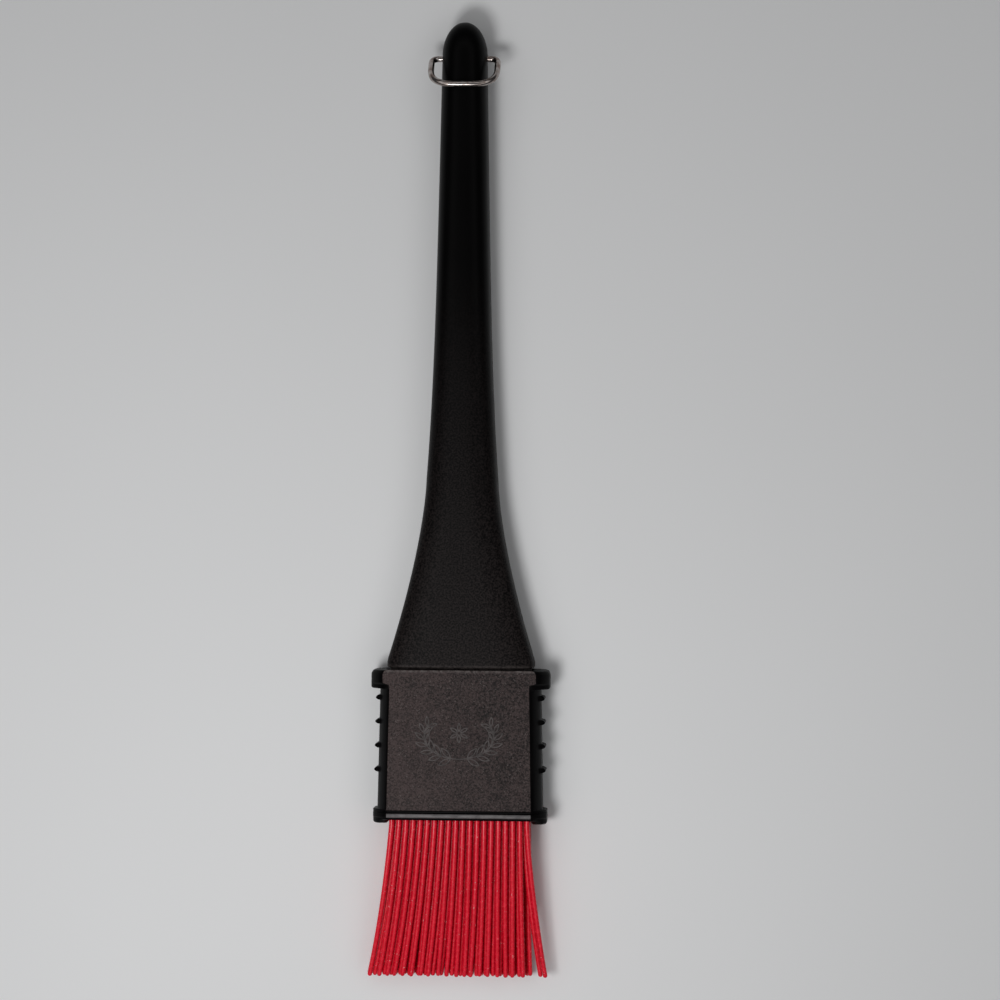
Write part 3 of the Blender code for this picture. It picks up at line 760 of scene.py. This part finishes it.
def sleeve_run():
    """Closed run of sections: down the outside, in at the mouth and up the inside.

    Each has its place below the top, half width, half depth, and the corner's round across and in depth.
    The collar's and the lip's eased edges are given in millimetres.
    """
    body, face = BODY_HALF_WIDTH, FACE
    lug, mouth = body + LUG_STAND, body + BODY_FLARE
    rim = mouth + RIM_STAND
    groove_end = GROOVE_TOP + GROOVE_HEIGHT
    bead_end = groove_end + BEAD_HEIGHT
    wide_round = LUG_STAND + EDGE_ROUND
    rim_round = RIM_STAND + EDGE_ROUND
    collar = [
        (down * MM, lug - inwards * MM, face - under * MM, COLLAR_ROUND)
        for down, inwards, under in COLLAR_EASE
    ]
    lip = [
        (SLEEVE_LENGTH - up * MM, rim - inwards * MM, face - under * MM, rim_round)
        for up, inwards, under in LIP_EASE
    ]
    outer = (
        *collar,
        (COLLAR_PANEL, lug, face, COLLAR_ROUND),
        (COLLAR_PANEL + COLLAR_STEP, lug, face, wide_round),
        (LUG_HEIGHT - LUG_EASE, lug, face, wide_round),
        (LUG_HEIGHT, lug - LUG_EASE, face, wide_round - LUG_EASE),
        (LUG_HEIGHT + EDGE_STEP, body, face, EDGE_ROUND),
        (RIM_TOP, mouth, face, EDGE_ROUND),
        (RIM_TOP + EDGE_STEP, rim, face, rim_round),
        (GROOVE_TOP, rim, face, rim_round),
        (GROOVE_TOP + EASED, rim, face - GROOVE_DEPTH, rim_round),
        (groove_end - EASED, rim, face - GROOVE_DEPTH, rim_round),
        (groove_end, rim, face - BEAD_EDGE_SUNK, rim_round),
        (groove_end + BEAD_HEIGHT / 2, rim, face - BEAD_SUNK, rim_round),
        (bead_end, rim, face - BEAD_EDGE_SUNK, rim_round),
        (bead_end + EASED, rim, face - GROOVE_DEPTH, rim_round),
        *lip,
    )
    inner = (
        (SLEEVE_LENGTH, *(half + LEAD_IN for half in MOUTH_HALF)),
        (SLEEVE_LENGTH - LEAD_IN, *MOUTH_HALF),
        (LIP_TOP, *MOUTH_HALF),
        (LIP_TOP, *CHAMBER_HALF),
        (CHAMBER_TOP, *CHAMBER_HALF),
        (CHAMBER_TOP - LEAD_IN, *SOCKET_HALF),
        (LEAD_IN, *SOCKET_HALF),
        (0.0, *(half + LEAD_IN for half in SOCKET_HALF)),
    )
    outside = [(*section, EDGE_ROUND_DEPTH) for section in outer]
    inside = [(*section, INNER_ROUND, INNER_ROUND) for section in inner]
    return np.array(outside + inside), len(outside)


def sleeve_rows():
    """The run at even steps, softened by a running mean, with only every fourth row kept on the inside."""
    run, outside = sleeve_run()
    run = np.vstack([run, run[:1]])
    travelled = np.concatenate([[0.0], np.cumsum(np.linalg.norm(np.diff(run[:, :3], axis=0), axis=1))])
    places = np.arange(0, travelled[-1], SLEEVE_STEP)
    rows = np.stack([np.interp(places, travelled, column) for column in run.T], axis=-1)
    for _ in range(2):
        rows = (np.roll(rows, 1, axis=0) + 2 * rows + np.roll(rows, -1, axis=0)) / 4
    is_outside = places < travelled[outside - 1]
    keep = is_outside | (np.arange(len(places)) % 4 == 0)
    return rows[keep].T, is_outside[keep]


def ridge_share(below, up):
    """How far the sides stand out to the ridges: a squared half-oval along, and a soft band in depth."""
    off = np.abs(below[:, None] - RIDGE_PLACES).min(axis=1) / (RIDGE_HEIGHT / 2)
    along = np.clip(1 - np.clip(off, 0, 1) ** RIDGE_POWER, 0, 1) ** (1 / RIDGE_POWER)
    depth = np.clip((RIDGE_HALF_DEPTH - np.abs(up)) / RIDGE_SOFTNESS + 0.5, 0, 1)
    return along[:, None] * depth * depth * (3 - 2 * depth)


def mouth_setback(below, up):
    """How much shorter the front and back walls are than the sides at the mouth: a soft step in depth."""
    near = np.clip((below - GROOVE_TOP - GROOVE_HEIGHT - BEAD_HEIGHT) / SETBACK_RUN, 0, 1)
    wall = np.clip((np.abs(up) - SETBACK_START) / (SETBACK_END - SETBACK_START), 0, 1)
    return MOUTH_SETBACK * near[:, None] * wall * wall * (3 - 2 * wall)


def sleeve_zones(below, is_outside, u):
    """Finish of each face of the sleeve's grid: 0 the grained faces, 1 all that is smooth, painted darker
    as shade, 2 the bead, painted paler as a highlight.
    """
    on_face = np.abs(u)[None, :] < 0.02
    grained = is_outside & (below < GROOVE_TOP)
    bead_top = GROOVE_TOP + GROOVE_HEIGHT
    bead = is_outside & (below > bead_top) & (below < bead_top + BEAD_HEIGHT)
    zones = np.where(on_face & grained[:, None], 0, 1)
    return np.where(on_face & bead[:, None], 2, zones)


def make_sleeve(finishes):
    """Rounded rectangles carried along the closed run, with the finger ridges drawn out of the sides."""
    (below, half_width, half_depth, round_x, round_z), is_outside = sleeve_rows()
    end_x, end_z, u, v = sleeve_columns(EDGE_POWER)
    x = end_x * (half_width - round_x)[:, None] + u * round_x[:, None]
    z = end_z * (half_depth - round_z)[:, None] + v * round_z[:, None]
    ridge_face = half_width[:, None] + RIDGE_STAND
    share = ridge_share(below, z) * (is_outside[:, None] & (np.abs(u) > 0.5))
    x = x + np.sign(x) * share * (ridge_face - np.abs(x))
    y = SLEEVE_Y - below[:, None] + mouth_setback(below, z)
    grid = np.stack([x, y, AXIS_Z + z], axis=-1)
    sleeve = put_tubes("sleeve_moulding", grid[None], ring=True, sharp=50.0)
    for finish in finishes:
        sleeve.data.materials.append(finish)
    zones = sleeve_zones(below, is_outside, u)
    sleeve.data.polygons.foreach_set("material_index", zones.ravel().astype(np.int32))
    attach(sleeve, "head")
    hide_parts("head_sleeve")


def sprig_arc(bearing):
    """Points of the sprigs' oval, at angles from its +X end."""
    across = SPRIG_HALF_WIDTH * np.cos(bearing)
    up = SPRIG_HALF_HEIGHT * np.sin(bearing) + SPRIG_LIFT
    return np.stack([across, up], axis=-1)


def lens_outline(start, length, half_width, fullness):
    """Closed outline of a lens along X: its half width follows a power of a half wave of the sine."""
    turn = np.linspace(0, 2 * np.pi, OUTLINE_POINTS, endpoint=False)
    share = (1 - np.cos(turn)) / 2
    along = start + length * share
    return along, half_width * np.sign(np.sin(turn)) * np.sin(np.pi * share) ** fullness


def leaf_outlines():
    """Two leafy sprigs that curve up from the middle, as closed outlines: leaf, point, across and up.

    The stems are arcs of an oval. A leaf is a lens that turns off the stem's tangent, and the leaves get
    shorter towards the sprig's end.
    """
    station = np.repeat(np.linspace(0.06, 0.92, LEAF_PAIRS), 2)
    lean = np.tile([1.0, -1.0], LEAF_PAIRS) * LEAF_LEAN
    bearing = np.radians(-84 + 118 * station)
    root = sprig_arc(bearing)
    heading = lean + np.arctan2(SPRIG_HALF_HEIGHT * np.cos(bearing), -SPRIG_HALF_WIDTH * np.sin(bearing))
    length = (LEAF_LENGTH - LEAF_TAPER * station)[:, None]
    along, across = lens_outline(LEAF_GAP, length, LEAF_FULLNESS * length, 0.9)
    x = root[:, :1] + along * np.cos(heading)[:, None] - across * np.sin(heading)[:, None]
    y = root[:, 1:] + along * np.sin(heading)[:, None] + across * np.cos(heading)[:, None]
    right = np.stack([x, y], axis=-1)
    return np.concatenate([right, right[:, ::-1] * (-1, 1)])


def petal_outlines():
    """A rosette between the sprigs: lenses set round a point."""
    bearing = np.radians(np.arange(PETAL_COUNT) * 360 / PETAL_COUNT + 30)[:, None]
    along, across = lens_outline(PETAL_START, PETAL_LENGTH, PETAL_HALF_WIDTH, 0.8)
    x = along * np.cos(bearing) - across * np.sin(bearing)
    y = along * np.sin(bearing) + across * np.cos(bearing) + ROSETTE_LIFT
    return np.stack([x, y], axis=-1)


def stem_lines():
    """The sprigs' stems, as open lines of points across and up."""
    right = sprig_arc(np.radians(np.linspace(-90, 30, OUTLINE_POINTS)))
    return np.stack([right, right * (-1, 1)])


def relief_lines(shapes):
    """Rods carried along lines of points across and up, with their axes just under the sleeve's face."""
    level = np.full((*shapes.shape[:2], 1), AXIS_Z + FACE - RELIEF_SUNK)
    path = np.concatenate([shapes, level], axis=-1)
    return carried_section(path, np.full(path.shape[:2], RELIEF_RADIUS), (0, 0, 1), RELIEF_SIDES)


def make_relief(finish):
    """Low rounded lines half sunk in the sleeve's face: closed leaf and petal outlines, and open stems."""
    middle = np.array([0.0, SLEEVE_Y - RELIEF_DROP])
    loops = np.concatenate([leaf_outlines(), petal_outlines()]) + middle
    overlapped = np.concatenate([loops[:, -1:], loops, loops[:, :1]], axis=1)
    loop_grid = relief_lines(overlapped)[:, 1:-1]
    stem_grid = relief_lines(stem_lines() + middle)
    points = tube_points(loop_grid, ring=True)
    faces = tube_faces(*loop_grid.shape[:3], ring=True)
    faces += [group + len(points) for group in tube_faces(*stem_grid.shape[:3])]
    points = np.concatenate([points, tube_points(stem_grid)])
    relief = put_mesh("sprig_relief", points, faces, finish)
    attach(relief, "head")


# Bristle rows


def row_height(row, share):
    """Height of a row's centre line, which drops by a power law from its bar's level to its tips' level."""
    root = AXIS_Z + ((ROW_COUNT - 1) / 2 - row) * ROW_PITCH
    tip = LOWEST_TIP + TIP_RADIUS + (ROW_COUNT - 1 - row) * TIP_ROW_PITCH
    return root + (tip - root) * share**BEND_POWER


def bristle_paths(row, draws):
    """Centre lines and radii of a row's bristles: straight to the mouth, then fanned out and bent down.

    Beyond the mouth a bristle leans by (sweep + fan place) s (start + (1 - start) s), where s runs to one
    at the tip and place is where it stands across the row. Each wanders a little, and the last of a row
    also splays out or tucks in by a power of s. The end is a dome, where the radius follows a quarter
    circle.
    """
    count = FRONT_ROW_BRISTLES - row % 2
    wander, free = np.array(draws).T
    root_x = (np.arange(count) - (count - 1) / 2) * BRISTLE_PITCH
    stray = np.zeros(count)
    stray[-1] = STRAY_SPLAY[row]
    dome = TIP_RADIUS / BRISTLE_LENGTH
    turn = np.radians([15, 30, 45, 60, 72, 84])
    free_share = np.concatenate([np.linspace(0, 1 - dome, BRISTLE_ROWS), 1 - dome + dome * np.sin(turn)])
    shrink = np.concatenate([np.ones(BRISTLE_ROWS), np.cos(turn)])
    bow = BOW * np.sin(7.0 * np.arange(count) + 2.0 * row)
    growth = free_share * (LEAN_START + (1 - LEAN_START) * free_share)
    lean = (SWEEP + FAN * root_x / ROW_HALF_WIDTH)[:, None] * growth
    x = root_x[:, None] + lean + stray[:, None] * free_share**STRAY_POWER + wander[:, None] * free_share**2
    x += bow[:, None] * np.sin(np.pi * free_share)
    y = SLEEVE_Y - SLEEVE_LENGTH - free[:, None] * free_share
    z = np.broadcast_to(row_height(row, free_share), x.shape)
    buried = np.stack([-BAR_TOP - 0.75 * BAR_HEIGHT, -BAR_TOP - BAR_HEIGHT, -SLEEVE_LENGTH + 0.5 * MM])
    inside_y = np.broadcast_to(SLEEVE_Y + buried, (count, 3))
    inside_x = np.broadcast_to(root_x[:, None], (count, 3))
    inside_z = np.full((count, 3), row_height(row, 0.0))
    path = np.stack(
        [np.hstack([inside_x, x]), np.hstack([inside_y, y]), np.hstack([inside_z, z])],
        axis=-1,
    )
    radius = (ROOT_RADIUS + (TIP_RADIUS - ROOT_RADIUS) * free_share) * shrink
    radius = np.concatenate([np.full(3, ROOT_RADIUS), radius])
    return path, np.broadcast_to(radius, path.shape[:2])


def make_row(row, draws, finish):
    """One silicone comb: a bar with eased edges, and its bristles joined on as tapered round rods."""
    path, radius = bristle_paths(row, draws)
    rods = carried_section(path, radius, (0, 0, 1), BRISTLE_SIDES)
    bristles = put_tubes(f"bristles_{row + 1}", rods, finish, sharp=60.0)
    bar = slab(BAR_HALF_WIDTH, BAR_HEIGHT / 2, BAR_HALF_DEPTH, BAR_EDGE, BAR_POWER)
    place = np.array([0.0, SLEEVE_Y - BAR_TOP - BAR_HEIGHT / 2, row_height(row, 0.0)])
    comb = put_tubes(f"silicone_row_{row + 1}", bar + place, finish)
    combine(comb, bristles, "UNION")
    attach(comb, "head")
    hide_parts(f"bristle_row_{row + 1}")


def make_rows(finish):
    """The combs, front row first. Each bristle draws its wander and its length in turn."""
    chance = random.Random(SEED)
    for row in range(ROW_COUNT):
        draws = [
            (TIP_WANDER * chance.uniform(-1, 1), BRISTLE_LENGTH - LENGTH_WANDER * chance.random())
            for _ in range(FRONT_ROW_BRISTLES - row % 2)
        ]
        make_row(row, draws, finish)


# Studio


def make_floor(finish):
    half = FLOOR_HALF
    corners = [(-half, -half, 0), (half, -half, 0), (half, half, 0), (-half, half, 0)]
    mesh = bpy.data.meshes.new("studio_floor")
    mesh.from_pydata(corners, [], [(0, 1, 2, 3)])
    mesh.materials.append(finish)
    floor = bpy.data.objects.new("studio_floor", mesh)
    bpy.context.scene.collection.objects.link(floor)


def add_key_light():
    """Square soft light high on the left, aimed at the sleeve."""
    light = bpy.data.lights.new("key", "AREA")
    light.shape = "SQUARE"
    light.size = KEY_SIZE
    light.energy = KEY_WATTS
    lamp = bpy.data.objects.new("key", light)
    lamp.location = KEY_PLACE
    lamp.rotation_euler = (Vector(KEY_TARGET) - Vector(KEY_PLACE)).to_track_quat("-Z", "Y").to_euler()
    lamp.visible_camera = False
    bpy.context.scene.collection.objects.link(lamp)


def light_room():
    """A ring of soft light part of the way up a dark room, which fades in and out with height."""
    world = bpy.data.worlds.new("studio_room")
    world.use_nodes = True
    tree = world.node_tree
    background = tree.nodes["Background"]
    up = add_node(tree, "ShaderNodeTexCoord").outputs["Generated"]
    height = add_node(tree, "ShaderNodeSeparateXYZ", {"Vector": up}).outputs["Z"]
    rise = remap(tree, height, 0.60, 0.74)
    fall = remap(tree, height, 0.95, 0.86)
    ring = calculate(tree, "MULTIPLY", rise, fall)
    colour = mix_colours(tree, ring, (0.05, 0.05, 0.052), (0.75, 0.75, 0.75))
    tree.links.new(colour, background.inputs["Color"])
    bpy.context.scene.world = world
    bpy.context.scene.view_settings.view_transform = "Standard"


def place_camera():
    """Camera above the brush and a little to its right, almost a metre away."""
    camera = bpy.data.cameras.new("overhead")
    camera.sensor_width = SENSOR_WIDTH
    camera.lens = LENS
    item = bpy.data.objects.new("overhead", camera)
    sideways = math.sin(CAMERA_LEAN)
    away = (sideways * math.cos(CAMERA_TURN), sideways * math.sin(CAMERA_TURN), math.cos(CAMERA_LEAN))
    item.location = CAMERA_TARGET + CAMERA_DISTANCE * Vector(away)
    item.rotation_euler = (0, CAMERA_LEAN, CAMERA_TURN)
    bpy.context.scene.collection.objects.link(item)
    bpy.context.scene.camera = item


def make_brush():
    make_handle(handle_finish())
    make_ring(ring_finish())
    sleeve_black = sleeve_finish()
    # The bead and the sprigs are painted paler than the sleeve as a painted highlight.
    bead_highlight = painted_highlight_finish("sleeve_bead_painted_highlight", (0.122, 0.112, 0.114), (0.074, 0.067, 0.069))
    make_sleeve((sleeve_black, flank_painted_shade_finish(), bead_highlight))
    make_relief(painted_highlight_finish("sprig_painted_highlight", (0.105, 0.092, 0.090), (0.050, 0.043, 0.042)))
    make_rows(silicone_finish())
    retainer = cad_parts["bar_retainer"]
    retainer.data.materials.clear()
    retainer.data.materials.append(retainer_finish())


make_brush()
make_floor(floor_finish())
add_key_light()
light_room()
place_camera()
